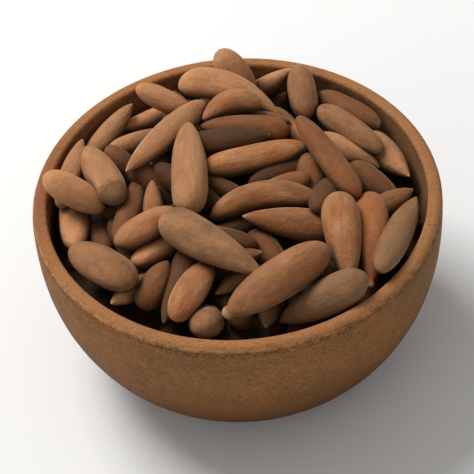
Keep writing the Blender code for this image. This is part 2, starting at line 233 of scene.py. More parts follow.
NUTS = (
    # At the back, from left to right.
    Nut((123.5, 121.5), (158, 138), 4.9, 1.0, 6.0, tint="pale"),
    Nut((101, 156), (122, 130), 4.6, 4.0, 1.0),
    Nut((150, 129), (115.5, 141), 4.2, 8.0, 3.0, tint="bright"),
    Nut((110, 152), (142, 142), 4.6, 3.0, 8.0, tint="pale"),
    Nut((157, 129), (118.5, 162.5), 5.9, 0.0, 0.0),
    Nut((164, 105), (182, 125), 6.2, -1.0, 9.0, tint="ash"),
    Nut((145.5, 116), (195, 135), 6.8, 2.3, 2.3, 2.2, form="club", tint="pale"),
    Nut((172, 128), (196.5, 113.5), 4.6, 9.5, 1.5, tint="ash"),
    Nut((183, 127.5), (155, 135), 5.3, 0.8, 1.5, 1.8, form="long", tint="orange"),
    Nut((168, 137.5), (198, 138), 4.6, 4.5, 4.5, tint="buff"),
    Nut((197.5, 143), (154, 140.5), 5.9, 2.0, 2.0, form="long", tint="rust"),
    Nut((205.5, 137), (201.5, 111.5), 5.8, 3.0, 0.5, form="bean", tint="buff"),
    Nut((187, 132), (208, 150), 4.4, 5.5, 5.0, tint="orange"),
    # Down the left side.
    Nut((86, 180), (95.5, 146), 4.6, 5.0, 2.4),
    Nut((116.5, 177.5), (98.5, 151.5), 6.5, 0.5, 0.5, form="bean", tint="scarred"),
    Nut((78, 164.5), (108, 180.5), 6.2, 0.0, 3.5, form="barrel", tint="pale"),
    Nut((93.5, 196.5), (90.5, 162), 6.2, 2.5, 5.0, form="bean", tint="bright"),
    Nut((124, 217), (92.5, 199), 7.4, 0.0, 0.0, form="barrel", tint="buff"),
    Nut((133, 212), (111.5, 224.5), 4.4, 6.5, 1.0, tint="bright"),
    Nut((115, 196), (126, 163), 4.9, 3.0, 5.0, tint="umber"),
    Nut((114, 197.5), (143, 180.5), 5.8, 1.5, 0.8, form="barrel", tint="orange"),
    Nut((110, 200), (99, 170), 4.8, 4.5, 7.0, tint="umber"),
    # Across the middle.
    Nut((133, 196), (131.5, 166.5), 4.6, 6.0, 3.5, tint="orange"),
    Nut((138, 142), (134, 171), 4.4, 4.5, 4.0, tint="brown"),
    Nut((149.5, 181.5), (148.5, 139), 7.0, 0.0, 0.0, form="bullet"),
    Nut((138, 186), (186, 213), 8.0, 0.0, 0.0, form="cone", tint="grey"),
    Nut((156, 161), (205, 150), 5.7, 3.0, 3.0, form="stick", tint="amber"),
    Nut((178, 168), (220, 155), 4.8, 5.5, 5.5, tint="burnt"),
    Nut((159, 181.5), (211, 173), 5.7, 3.0, 1.0, 2.5, form="bean", tint="brown"),
    Nut((220, 189.5), (174.5, 183), 6.7, 3.0, 2.0, form="club", tint="brown"),
    Nut((178, 192), (196, 212), 5.7, 6.5, 5.5, tint="rust"),
    # Down the right side.
    Nut((211.5, 125), (241, 140), 5.3, 2.5, 2.5, form="bean", tint="umber"),
    Nut((211, 132.5), (240, 153.5), 5.5, 1.5, 1.5, form="bean", tint="buff"),
    Nut((232, 145), (255.5, 165), 6.8, 3.5, 2.0, form="cone", tint="ash"),
    Nut((211, 145), (241, 160), 5.2, 3.5, 4.0, tint="ash"),
    Nut((230, 174.5), (201.5, 136.5), 5.1, 0.0, 0.0, form="stick", tint="rust"),
    Nut((228, 159), (251, 179), 5.7, 5.0, 3.0, tint="umber"),
    Nut((232, 184), (256, 171), 4.6, 7.0, 3.0, tint="brown"),
    Nut((219.8, 174), (226, 217), 7.2, -0.5, -0.5, form="pear", tint="orange"),
    Nut((237, 173.5), (237.5, 216.5), 6.8, 0.0, 0.0, form="knobbed", tint="red"),
    Nut((243.5, 212), (258.5, 176), 5.7, 1.0, 1.0, form="spindle", tint="smoky"),
    # Along the front, from left to right.
    Nut((121.5, 206.5), (152, 190), 4.9, 2.5, 6.0, form="barrel", tint="bright"),
    Nut((127, 228), (140, 205), 5.7, 4.0, 2.5, tint="rust"),
    Nut((136, 229), (152, 216), 4.4, 5.0, 7.0, tint="umber"),
    Nut((141.5, 234), (160, 203), 6.1, 1.0, 3.5, form="barrel", tint="orange"),
    Nut((157.5, 236), (157.5, 230), 6.6, -2.5, 13.0, tint="buff"),
    Nut((188, 203), (161, 221), 4.4, 8.0, 4.5, tint="bright"),
    Nut((214, 198), (164, 231), 8.0, 0.0, 0.0, form="knotted", tint="brown"),
    Nut((169, 229), (180, 236), 4.6, 5.0, 6.0, tint="dark"),
    Nut((191, 214), (186, 237), 4.8, 7.0, 4.5, tint="smoky"),
    Nut((238.5, 217.5), (193.5, 236), 7.2, 2.5, 2.5, tint="smoky"),
)

FORWARD = np.array((0.0, math.cos(VIEW_PITCH), -math.sin(VIEW_PITCH)))
UPWARD = np.array((0.0, math.sin(VIEW_PITCH), math.cos(VIEW_PITCH)))
RIGHTWARD = np.array((1.0, 0.0, 0.0))


def length_setting(label, description, value):
    return FloatProperty(name=label, description=description, default=value, unit="LENGTH", precision=4)


def colour_setting(label, description, value):
    return FloatVectorProperty(name=label, description=description, default=value, size=3,
                               min=0.0, max=1.0, subtype="COLOR")


def count_setting(label, description, value, least):
    return IntProperty(name=label, description=description, default=value, min=least)


class BowlSettings(bpy.types.PropertyGroup):
    rim_radius: length_setting("Rim radius", "Outer radius at the rim", RIM_RADIUS)
    height: length_setting("Height", "Height from the foot to the rim", BOWL_HEIGHT)
    foot_radius: length_setting("Foot radius", "Radius of the flat foot", 17 * MM)
    side_bulge: length_setting("Bulge", "How far the side swells beyond the rim", 0.2 * MM)
    cavity_radius: length_setting("Hollow radius", "Radius of the hollow at the rim", 37.6 * MM)
    cavity_depth: length_setting("Hollow depth", "Depth of the hollow", 35 * MM)
    floor_radius: length_setting("Floor radius", "Radius of the hollow's flat floor", 12 * MM)
    lip_inner: length_setting("Inner rounding", "Rounding of the lip's inner edge", 0.7 * MM)
    lip_outer: length_setting("Outer rounding", "Rounding of the lip's outer edge", 1.5 * MM)
    unevenness: length_setting("Unevenness", "How far the hand-turned side strays", 0.12 * MM)
    turn_steps: count_setting("Turn steps", "Corners round the bowl", 224, 24)
    side_steps: count_setting("Side steps", "Corners down each side", 52, 8)
    lip_steps: count_setting("Lip steps", "Corners over each rounding of the lip", 9, 3)
    side_colour: colour_setting("Side colour", "Wood of the outer side", (0.32, 0.140, 0.048))
    olive_colour: colour_setting("Olive colour", "Duller patches of the side", (0.18, 0.105, 0.045))
    # Also the painted shade down the hollow and towards the foot.
    grain_and_shade_colour: colour_setting("Grain colour", "Dark grain and flecks", (0.065, 0.019, 0.003))
    lip_colour: colour_setting("Lip colour", "Worn, sanded lip", (0.39, 0.180, 0.075))
    pink_colour: colour_setting("Lip patches", "Rosy patches of the lip", (0.40, 0.145, 0.070))
    inner_colour: colour_setting("Inner colour", "Wood of the hollow's wall", (0.25, 0.135, 0.064))


class NutSettings(bpy.types.PropertyGroup):
    rings: count_setting("Rings", "Rings of corners along a nut that shows", 44, 8)
    sides: count_setting("Sides", "Corners round a nut that shows", 40, 6)
    low_rings: count_setting("Low rings", "Rings of corners along a nut that lies deeper", 22, 6)
    low_sides: count_setting("Low sides", "Corners round a nut that lies deeper", 18, 6)
    seed: count_setting("Seed", "Starts the draws of the nuts' small differences", 5, 0)
    deep_count: count_setting("Deep nuts", "Nuts in the lower layer", 70, 0)
    deep_under: length_setting("Deep layer", "How far the lower layer lies under the top", 9.0 * MM)
    pale_colour: colour_setting("Pale shell", "Dusty shell", (0.49, 0.235, 0.108))
    brown_colour: colour_setting("Brown shell", "Darker shell", (0.25, 0.102, 0.036))
    red_colour: colour_setting("Reddish shell", "Where the dust is rubbed off", (0.36, 0.115, 0.036))
    grey_colour: colour_setting("Grey shell", "Smoky, greyish shell", (0.215, 0.120, 0.060))
    edge_colour: colour_setting("Pale edges", "Dust on the keels and tips", (0.60, 0.42, 0.26))
    scar_colour: colour_setting("Scar", "Scar at the blunt end of a nut", (0.13, 0.062, 0.026))
    # The painted shade deep in the heap and where nuts shut each other in.
    painted_gloom_colour: colour_setting("Gloom", "Shells deep in the heap", (0.030, 0.012, 0.004))


class HeapSettings(bpy.types.PropertyGroup):
    core_under: length_setting("Core depth", "How far the core lies under the heap's top", 13.0 * MM)
    core_gap: length_setting("Core gap", "Room between the core and the wall", 0.7 * MM)
    core_steps: count_setting("Core steps", "Corners down the core's side and over its top", 24, 4)
    turn_steps: count_setting("Core turn steps", "Corners round the core", 96, 12)
    # The core's near-black is painted shade, standing for the dark deep in the heap.
    colour: colour_setting("Core colour", "What shows deep between the nuts", (0.030, 0.017, 0.010))


class StageSettings(bpy.types.PropertyGroup):
    floor_radius: length_setting("Floor radius", "Radius of the plain floor", 3.0)
    floor_colour: colour_setting("Floor colour", "Plain pale floor", (0.86, 0.87, 0.885))
    surround: FloatProperty(name="Surround", default=0.38,
                            description="Strength of the even light around")
    key_power: FloatProperty(name="Key light", default=8.9, unit="POWER",
                             description="Power of the large soft light")
    fill_power: FloatProperty(name="Fill light", default=1.0, unit="POWER",
                              description="Power of the weak front light")
    zoom: FloatProperty(name="Zoom", default=2.1, description="How much closer than the reading view")


# Shader maths

class Value:
    """A shader socket in sums and products. Each operator adds a Math node to its material."""

    def __init__(self, finish, socket):
        self.finish = finish
        self.socket = socket

    def __add__(self, other):
        return self.finish.maths("ADD", self, other)

    __radd__ = __add__

    def __sub__(self, other):
        return self.finish.maths("SUBTRACT", self, other)

    def __rsub__(self, other):
        return self.finish.maths("SUBTRACT", other, self)

    def __mul__(self, other):
        return self.finish.maths("MULTIPLY", self, other)

    __rmul__ = __mul__

    def between(self, low, high):
        """0 up to low, 1 from high on, and a smooth step between them."""
        return self.finish.node(
            "ShaderNodeMapRange", {"interpolation_type": "SMOOTHSTEP"},
            {"Value": self, "From Min": low, "From Max": high})


# A Mix node's sockets for colours, by number.
MIX_FACTOR, MIX_A, MIX_B, MIX_OUT = 0, 6, 7, 2


class Finish:
    """One material. Its nodes are made here and feed its Principled shader."""

    def __init__(self, name, **constants):
        self.material = bpy.data.materials.new(name)
        self.material.use_nodes = True
        self.tree = self.material.node_tree
        self.shader = self.tree.nodes["Principled BSDF"]
        for socket, value in constants.items():
            self.shader.inputs[socket.replace("_", " ")].default_value = value

    def node(self, kind, settings, sockets, output=0):
        """A node of any kind: its settings are set first, then its sockets' values or links."""
        node = self.tree.nodes.new(kind)
        for key, value in settings.items():
            setattr(node, key, value)
        for key, value in sockets.items():
            self.feed(node.inputs[key], value)
        return Value(self, node.outputs[output])

    def feed(self, socket, value):
        if isinstance(value, Value):
            self.tree.links.new(value.socket, socket)
        elif socket.type == "RGBA":
            socket.default_value = (*value, 1.0)
        else:
            socket.default_value = value

    def feed_shader(self, **sockets):
        for name, value in sockets.items():
            self.feed(self.shader.inputs[name.replace("_", " ")], value)

    def maths(self, operation, first, second):
        return self.node("ShaderNodeMath", {"operation": operation}, {0: first, 1: second})

    def mix(self, factor, first, second):
        return self.node(
            "ShaderNodeMix", {"data_type": "RGBA"},
            {MIX_FACTOR: factor, MIX_A: first, MIX_B: second}, MIX_OUT)

    def scaled(self, vector, factors):
        """A place or a colour times others, part by part."""
        return self.node("ShaderNodeVectorMath", {"operation": "MULTIPLY"}, {0: vector, 1: factors})

    def attribute(self, name, output="Fac"):
        return self.node("ShaderNodeAttribute", {"attribute_name": name}, {}, output)

    def clouds(self, vector, scale, detail, roughness, distortion=0.0):
        return self.node(
            "ShaderNodeTexNoise", {},
            {"Vector": vector, "Scale": scale, "Detail": detail, "Roughness": roughness,
             "Distortion": distortion})

    def bump(self, height, distance):
        normal = self.node("ShaderNodeBump", {}, {"Height": height, "Distance": distance})
        self.feed_shader(Normal=normal)


def shade(colour, factor):
    """A colour made lighter or darker in Python."""
    return tuple(min(channel * factor, 1.0) for channel in colour)


# Shared mesh work

def add_object(name, mesh, node):
    """A piece that rides on the one body and stands for a node."""
    obj = bpy.data.objects.new(name, mesh)
    bpy.context.scene.collection.objects.link(obj)
    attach(obj, "root")
    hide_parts(node)


def circle(radius, height, steps):
    turns = np.arange(steps) * FULL_TURN / steps
    return [(radius * math.cos(turn), radius * math.sin(turn), height) for turn in turns]


def mark_corners(mesh, name, values):
    """Keeps a number or a vector at each corner of a mesh, for its finish to read."""
    kind, field = ("FLOAT_VECTOR", "vector") if values.ndim == 2 else ("FLOAT", "value")
    attribute = mesh.attributes.new(name, kind, "POINT")
    attribute.data.foreach_set(field, values.astype(np.float32).ravel())


def turned_mesh(name, profile, steps):
    """A closed mesh turned round Z. Its profile of (radius, height) runs from the lower end of the
    axis outside, up and back to the axis.
    """
    rings = profile[1:-1]
    points = [(0.0, 0.0, profile[0][1])]
    for radius, height in rings:
        points += circle(radius, height, steps)
    points.append((0.0, 0.0, profile[-1][1]))
    mesh = bpy.data.meshes.new(name)
    mesh.from_pydata(points, [], ring_faces(len(rings), steps))
    mesh.shade_smooth()
    ways = np.repeat(np.arange(len(profile)) / (len(profile) - 1), [1] + [steps] * len(rings) + [1])
    mark_corners(mesh, "profile_way", ways)
    return mesh


def ring_faces(ring_count, sides, first=0):
    """Faces of a closed form: a pole, rings of corners, and another pole."""
    faces = []
    for ring in range(ring_count - 1):
        near = first + 1 + ring * sides
        for side in range(sides):
            after = (side + 1) % sides
            faces.append((near + side, near + after, near + sides + after, near + sides + side))
    last_ring = first + 1 + (ring_count - 1) * sides
    last = last_ring + sides
    for side in range(sides):
        after = (side + 1) % sides
        faces.append((first, first + 1 + after, first + 1 + side))
        faces.append((last_ring + side, last_ring + after, last))
    return faces


# The bowl

def side_radius(share, end_radius, rim_radius):
    """Radius of a rounded side at a share of its depth, from the rim down to its foot."""
    belly = (1 - share ** SIDE_BELLY) ** (1 / SIDE_TURN)
    return end_radius + (rim_radius - end_radius) * belly


def depth_shares(top_share, steps):
    """Steps down a side from a share of its depth to its foot, closer where it turns in."""
    ways = [step / (steps - 1) for step in range(steps)]
    return [1 - (1 - top_share) * (1 - way) ** SIDE_CROWDING for way in ways]


def lip_profile(bowl):
    """The rounded lip, from the outer side over the top to the hollow's side."""
    points = []
    for rounding, centre, start, end in (
            (bowl.lip_outer, bowl.rim_radius - bowl.lip_outer, 0, 90),
            (bowl.lip_inner, bowl.cavity_radius + bowl.lip_inner, 90, 180)):
        for step in range(bowl.lip_steps + 1):
            angle = math.radians(start + (end - start) * step / bowl.lip_steps)
            radius = centre + rounding * math.cos(angle)
            points.append((radius, bowl.height - rounding + rounding * math.sin(angle)))
    return points


def bowl_profile(bowl):
    """The bowl's section, from its foot over the lip to the floor of its hollow."""
    points = [(0.0, 0.0)]
    for share in reversed(depth_shares(LIP_DEPTH / bowl.height, bowl.side_steps)):
        bulge = bowl.side_bulge * math.sin(math.pi * min(share / BULGE_DEPTH, 1))
        radius = side_radius(share, bowl.foot_radius, bowl.rim_radius) + bulge
        points.append((radius, bowl.height * (1 - share)))
    points += lip_profile(bowl)
    for share in depth_shares(LIP_DEPTH / bowl.cavity_depth, bowl.side_steps):
        radius = side_radius(share, bowl.floor_radius, bowl.cavity_radius)
        points.append((radius, bowl.height - bowl.cavity_depth * share))
    points.append((0.0, bowl.height - bowl.cavity_depth))
    return points


def roughen_bowl(mesh, bowl):
    """Lets the side stray a little from a true circle, inwards only, as handwork does."""
    for vertex in mesh.vertices:
        place = vertex.co * WAVES_PER_METRE
        stray = noise.noise(place) + RIPPLE_SHARE * noise.noise(place * RIPPLES_PER_WAVE)
        out = Vector((vertex.co.x, vertex.co.y, 0))
        if out.length > bowl.floor_radius:
            vertex.co -= out.normalized() * bowl.unevenness * (STRAY_MEAN + STRAY_SWING * stray)


Grain = namedtuple("Grain", "streaks flecks patches mottles pores")


def wood_grain(wood, place):
    """The wood's patterns, most of them drawn out along X, as its grain runs."""
    return Grain(
        streaks=wood.clouds(wood.scaled(place, (0.25, 1.0, 1.0)), 300.0, 5.0, 0.65, 0.25),
        flecks=wood.clouds(wood.scaled(place, (0.40, 1.0, 1.0)), 1700.0, 3.0, 0.65).between(0.58, 0.74),
        patches=wood.clouds(place, 60.0, 4.0, 0.6),
        mottles=wood.clouds(wood.scaled(place, (0.7, 1.0, 1.0)), 800.0, 4.0, 0.65),
        pores=wood.clouds(wood.scaled(place, (0.6, 1.0, 1.0)), 2600.0, 3.0, 0.7))


def near_rim(height, bowl, starts, full):
    """0 below one depth under the rim in mm, and 1 above another."""
    return height.between(bowl.height - starts * MM, bowl.height - full * MM)


def band_near_rim(height, bowl, starts, full, thins, ends):
    """1 in a band between two depths under the rim, with soft edges."""
    return near_rim(height, bowl, starts, full) * (1 - near_rim(height, bowl, thins, ends))


def side_wood(wood, bowl, grain):
    """The outer side: brown, with duller patches and dark streaks."""
    brown = (grain.patches * 0.5 + grain.mottles * 0.7).between(0.42, 0.80)
    side = wood.mix(brown, bowl.olive_colour, bowl.side_colour)
    return wood.mix(grain.streaks.between(0.42, 0.72) * 0.5, side, shade(bowl.side_colour, 0.6))


def hollow_wood(wood, bowl, grain, height):
    """The hollow's wall, which darkens downwards with painted shade."""
    streaks = grain.streaks.between(0.40, 0.75) * 0.5
    wall = wood.mix(streaks, bowl.inner_colour, shade(bowl.inner_colour, 0.6))
    # Painted shade, deepening down the hollow.
    painted_hollow_shade = 1 - near_rim(height, bowl, *HOLLOW_SHADE_FADE)
    return wood.mix(painted_hollow_shade * 0.9, wall, shade(bowl.grain_and_shade_colour, 0.35))


def lip_wood(wood, bowl, grain, right):
    """The paler lip, pinkish in patches, and pinkish and darker at the left end, where the darkening is
    painted shade.
    """
    streaks = grain.streaks.between(0.42, 0.78) * 0.5
    lip = wood.mix(streaks, bowl.lip_colour, shade(bowl.lip_colour, 0.62))
    lip = wood.mix(grain.patches.between(0.50, 0.72) * 0.5, lip, bowl.pink_colour)
    # The pinkish left end is also darkened: painted shade.
    rosy_and_shaded = 1 - (right + grain.patches * 2 * MM).between(*ROSY_SHADED_END)
    return wood.mix(rosy_and_shaded * 0.85, lip, shade(bowl.pink_colour, 0.62))


def wood_finish(bowl):
    """Open-pored wood: short dark flecks, a paler lip, and painted shade down the hollow and towards
    the foot, with a painted highlight along the lip's outer edge.
    """
    wood = Finish("turned_wood", Specular_IOR_Level=0.03)
    place = wood.node("ShaderNodeTexCoord", {}, {}, "Object")
    right, height = (wood.node("ShaderNodeSeparateXYZ", {}, {0: place}, axis) for axis in "XZ")
    grain = wood_grain(wood, place)
    outside = 1 - wood.attribute("profile_way").between(0.47, 0.53)
    colour = wood.mix(outside, hollow_wood(wood, bowl, grain, height), side_wood(wood, bowl, grain))
    on_lip = near_rim(height + grain.mottles * 0.4 * MM, bowl, *LIP_FADE)
    colour = wood.mix(on_lip, colour, lip_wood(wood, bowl, grain, right))
    colour = wood.mix(grain.flecks * 0.5, colour, bowl.grain_and_shade_colour)
    colour = wood.mix(grain.pores.between(0.35, 0.75) * 0.50, colour, shade(bowl.side_colour, 0.45))
    ridges = (1 - grain.pores).between(0.45, 0.70)
    colour = wood.mix(ridges * 0.30, colour, shade(bowl.lip_colour, 1.15))
    # Painted shade: the outer side darkens towards the foot.
    lower = 1 - height.between(bowl.height * 0.15, bowl.height * 0.80)
    colour = wood.mix(lower * outside * 0.88, colour, bowl.grain_and_shade_colour)
    pore_row = band_near_rim(height, bowl, *PORE_ROW) * grain.pores.between(0.48, 0.62)
    colour = wood.mix(pore_row * 0.7, colour, bowl.grain_and_shade_colour)
    # Painted highlight: a pale band along the lip's outer edge.
    painted_edge_highlight = band_near_rim(height, bowl, *EDGE_HIGHLIGHT_BAND) * outside * grain.mottles.between(0.40, 0.60)
    colour = wood.mix(painted_edge_highlight * 0.45, colour, shade(bowl.lip_colour, 1.6))
    wood.feed_shader(Base_Color=colour, Roughness=0.5 + grain.flecks * 0.2 + grain.streaks * 0.12)
    wood.bump(grain.pores * 0.5 + grain.streaks * 0.6 - grain.flecks * 0.7, WOOD_RELIEF)
    return wood.material


# Where the nuts lie

def heap_top(radius):
    """Height of the heap's top over the rim's plane, at a distance from the bowl's axis."""
    share = np.minimum(radius / HEAP_EDGE_RADIUS, 1.0)
    return HEAP_CROWN - (HEAP_CROWN - HEAP_EDGE) * share ** HEAP_FALL


def line_of_sight(pixel):
    right = (pixel[0] - VIEW_MIDDLE) / VIEW_FOCAL
    down = (pixel[1] - VIEW_MIDDLE) / VIEW_FOCAL
    line = FORWARD + right * RIGHTWARD - down * UPWARD
    return line / np.linalg.norm(line)


EYE = -VIEW_DISTANCE * line_of_sight(RIM_CENTRE_PIXEL)


def place_end(pixel, girth, under):
    """Where the line of sight through a pixel meets the nut's level in the heap or on the lip."""
    line = line_of_sight(pixel)
    height = 0.0
    for _ in range(VIEW_SETTLE_STEPS):
        point = EYE + line * ((height - EYE[2]) / line[2])
        radius = math.hypot(point[0], point[1])
        height = heap_top(radius) - girth / 2 - under
        if radius > HEAP_RADIUS:
            height = max(height, girth / 2)
    return point


def nut_outline(share, widest_at, blunt_power, tip_fineness):
    """Share of the full girth at a share of the half length, from -1 (blunt) to 1 (tip)."""
    behind = np.maximum(widest_at - share, 0) / (1 + widest_at)
    ahead = np.maximum(share - widest_at, 0) / (1 - widest_at)
    blunt = np.sqrt(np.maximum(1 - behind ** blunt_power, 0))
    tip = np.maximum(1 - ahead ** TIP_POWER, 0) ** tip_fineness
    return np.minimum(blunt, tip)


def girth_share(share):
    """The outline of a usual nut, which every nut is taken to have while places are worked out."""
    return nut_outline(share, WIDEST_AT, BLUNT_POWER, TIP_FINENESS)


def nuts_on_spiral(draw, count, under):
    """Ends and girths of nuts laid at random headings on a spiral round the bowl's axis."""
    ends = []
    girths = []
    for index in range(count):
        distance = FILLER_REACH * math.sqrt((index + 0.5) / count)
        turn = GOLDEN_ANGLE * index
        girth = draw.uniform(*FILLER_GIRTHS)
        half = draw.uniform(*FILLER_LENGTHS) / 2
        heading = draw.uniform(0, FULL_TURN)
        height = heap_top(distance) - girth / 2 - under
        middle = np.array((distance * math.cos(turn), distance * math.sin(turn), height))
        along = np.array((math.cos(heading), math.sin(heading), 0.0))
        ends.append((middle - along * half, middle + along * half))
        girths.append(girth)
    return ends, girths


def ease_apart(ends, girths, looseness):
    """Slides the nuts along the lines of sight until they touch instead of crossing.

    A looser nut gives way to a firmer one, and looseness is also the share of a push
    that moves a nut off its line of sight.
    """
    ends = ends.copy()
    count = len(ends)
    shares = np.array(EASE_SHARES)
    tip_weight = (shares + 1) / 2
    blunt_weight = 1 - tip_weight
    radii = (girths[:, None] / 2 * girth_share(shares)).ravel()
    owner = np.repeat(np.arange(count), len(shares))
    give = looseness[owner]
    give_way = 2 * EASE_STEP * give[:, None] / (give[:, None] + give)
    give_way[owner[:, None] == owner] = 0
    lengths = np.linalg.norm(ends[:, 1] - ends[:, 0], axis=1)
    sight = ends.mean(axis=1) - EYE
    sight /= np.linalg.norm(sight, axis=1, keepdims=True)
    for _ in range(EASE_ROUNDS):
        beads = (ends[:, :1] * blunt_weight[:, None] + ends[:, 1:] * tip_weight[:, None]).reshape(-1, 3)
        push = push_apart(beads, radii, give_way) + push_off_bowl(beads, radii)
        push = push.reshape(count, len(shares), 3)
        along = (push * sight[:, None]).sum(axis=2, keepdims=True) * sight[:, None]
        push = along + looseness[:, None, None] * (push - along)
        ends[:, 0] += (push * blunt_weight[:, None]).sum(axis=1) / blunt_weight.sum()
        ends[:, 1] += (push * tip_weight[:, None]).sum(axis=1) / tip_weight.sum()
        middle = ends.mean(axis=1)
        half = ends[:, 1] - middle
        half *= (lengths / 2 / np.linalg.norm(half, axis=1))[:, None]
        ends[:, 0] = middle - half
        ends[:, 1] = middle + half
    return ends


def push_apart(beads, radii, give_way):
    """Pushes beads that cross away from each other, each by its share of the giving way."""
    apart = beads[:, None] - beads
    distance = np.linalg.norm(apart, axis=2) + TINY
    crossing = np.maximum(TOUCH_SHARE * (radii[:, None] + radii) - distance, 0) * give_way
    return (apart / distance[..., None] * crossing[..., None]).sum(axis=1)


def push_off_bowl(beads, radii):
    """Pushes what comes too near the wall inwards, and what lies over the lip upwards."""
    push = np.zeros_like(beads)
    distance = np.hypot(beads[:, 0], beads[:, 1]) + TINY
    beyond = distance + radii - HEAP_RADIUS
    below = beads[:, 2] < LIP_REACH * radii
    inward = np.where((beyond > 0) & below, beyond, 0) * WALL_STEP
    push[:, :2] = -beads[:, :2] / distance[:, None] * inward[:, None]
    lift = np.maximum(radii - beads[:, 2], 0) * WALL_STEP
    push[:, 2] = np.where((beyond > 0) & ~below, lift, 0)
    return push


# A nut as it lies. One between the nuts on top has no tint of its own until it is drawn.
Lying = namedtuple("Lying", "ends girth bow form tint", defaults=(0.0, "plain", None))


def settled_nuts():
    """The nuts on top and those between them, as they lie."""
    ends, girths = nuts_on_spiral(np.random.default_rng(FILLER_SEED), FILLER_COUNT, FILLER_UNDER)
    for nut in NUTS:
        girth = nut.girth * MM
        blunt = place_end(nut.blunt, girth, nut.blunt_under * MM)
        tip = place_end(nut.tip, girth, nut.tip_under * MM)
        ends.append((blunt, tip))
        girths.append(girth)
    looseness = [1.0] * FILLER_COUNT + [READ_LOOSENESS] * len(NUTS)
    ends = ease_apart(np.array(ends), np.array(girths), np.array(looseness))
    on_top = [Lying(place, nut.girth * MM, nut.bow * MM, nut.form, nut.tint)
              for place, nut in zip(ends[FILLER_COUNT:], NUTS)]
    between = kept_low(ends[:FILLER_COUNT], girths)
    return on_top, without_hiding(between, on_top)


def kept_low(ends, girths):
    """The nuts that haven't been squeezed up among the nuts on top."""
    nuts = []
    for place, girth in zip(ends, girths):
        middle = place.mean(axis=0)
        room = heap_top(math.hypot(middle[0], middle[1])) - middle[2] - girth / 2
        if room >= FILLER_ROOM:
            nuts.append(Lying(place, girth))
    return nuts


def beads_along(nuts):
    """Places and radii of a row of beads down each nut."""
    shares = np.array(EASE_SHARES)
    ends = np.array([nut.ends for nut in nuts])
    girths = np.array([nut.girth for nut in nuts])
    weights = (shares + 1)[:, None] / 2
    places = ends[:, :1] * (1 - weights) + ends[:, 1:] * weights
    return places, girths[:, None] / 2 * girth_share(shares)


def hidden(behind, places, radii):
    """Which of the places behind lie on a line of sight that meets a bead in front."""
    ahead = places - EYE
    reach = np.linalg.norm(ahead, axis=1)
    ahead /= reach[:, None]
    back = behind - EYE
    distance = back @ ahead.T
    miss = np.linalg.norm(back[:, None] - distance[..., None] * ahead, axis=2)
    return ((miss < HIDING_SHARE * radii) & (distance > reach + radii)).any(axis=1)


def without_hiding(between, on_top):
    """Leaves out the nuts between that hide the middle of a nut on top."""
    places, radii = beads_along(on_top)
    shows = []
    for index in range(len(on_top)):
        others = np.arange(len(on_top)) != index
        shows.append(~hidden(places[index], places[others].reshape(-1, 3), radii[others].ravel()))
    seen = places[np.array(shows)]
    kept = []
    for nut in between:
        beads, bead_radii = beads_along([nut])
        if not hidden(seen, beads[0], bead_radii[0]).any():
            kept.append(nut)
    return kept


def deep_nuts(upper, settings):
    """A lower layer of nuts, eased clear of those above."""
    draw = np.random.default_rng(settings.seed)
    ends, girths = nuts_on_spiral(draw, settings.deep_count, settings.deep_under)
    looseness = [1.0] * len(ends) + [SETTLED_LOOSENESS] * len(upper)
    all_ends = np.array(ends + [tuple(nut.ends) for nut in upper])
    all_girths = np.array(girths + [nut.girth for nut in upper])
    eased = ease_apart(all_ends, all_girths, np.array(looseness))
    return kept_low(eased[:len(ends)], girths)


# The nuts' own form

def axes_round(along):
    """The directions across and over a nut, and the one that a bowed nut is bent in."""
    across = np.cross((0.0, 0.0, 1.0), along)
    across /= np.linalg.norm(across)
    over = np.cross(along, across)
    bend = np.cross(along, EYE / np.linalg.norm(EYE))
    bend *= math.copysign(1, bend[1]) / np.linalg.norm(bend)
    return across, over, bend


def own_outline(nut, shares, half_length, draw):
    """Share of the full girth at each share of the half length, for one nut's own form."""
    form = FORMS[nut.form]
    # The body ends in the middle of the knob.
    knob_half = form.knob * nut.girth / 2 / half_length
    body_shares = np.minimum((shares + 1) / (1 - knob_half / 2) - 1, 1)
    outline = nut_outline(body_shares, form.widest_at + draw.uniform(-WIDEST_STRAY, WIDEST_STRAY),
                          form.blunt_power + draw.uniform(*BLUNT_STRAYS),
                          form.tip_fineness + draw.uniform(-FINENESS_STRAY, FINENESS_STRAY))
    if form.knob:
        off_knob = (shares - 1 + knob_half) / knob_half
        outline = np.maximum(outline, form.knob * np.sqrt(np.maximum(1 - off_knob ** 2, 0)))
    return outline


def nut_section(share, turn, draw):
    """How far the shell stands out at a turn from its keel and a share of its length.

    Also gives how near each place is to a keel.
    """
    # The section is round at both ends.
    body = 1 - share ** 4
    squareness = draw.uniform(*SQUARENESSES)
    squared = np.abs(np.cos(turn)) ** squareness + np.abs(np.sin(turn)) ** squareness
    section = 1 + (squared ** (-1 / squareness) - 1) * body
    keel = 0.0
    twist = draw.uniform(-TWIST_STRAY, TWIST_STRAY)
    keel_heights = draw.uniform(*KEEL_HEIGHTS, 2)
    for side, height in zip((0.0, math.pi), keel_heights):
        away = np.angle(np.exp(1j * (turn - side - twist * share)))
        rise = body * np.exp(-(away / KEEL_HALF_WIDTH) ** 2)
        section = section + height * rise
        keel = keel + rise
    for waves in (1, 2, 3):
        swell = draw.uniform(*SWELL_HEIGHTS)
        drift = draw.uniform(*SWELL_DRIFTS) * share
        section = section + swell * body * np.cos(waves * turn + drift + draw.uniform(0, FULL_TURN))
    count = draw.integers(*FURROW_COUNTS)
    wander = FURROW_BEND * np.sin(3 * share + draw.uniform(0, FULL_TURN))
    furrows = np.cos(count * turn + wander)
    return section + draw.uniform(*FURROW_HEIGHTS) * body * furrows, keel


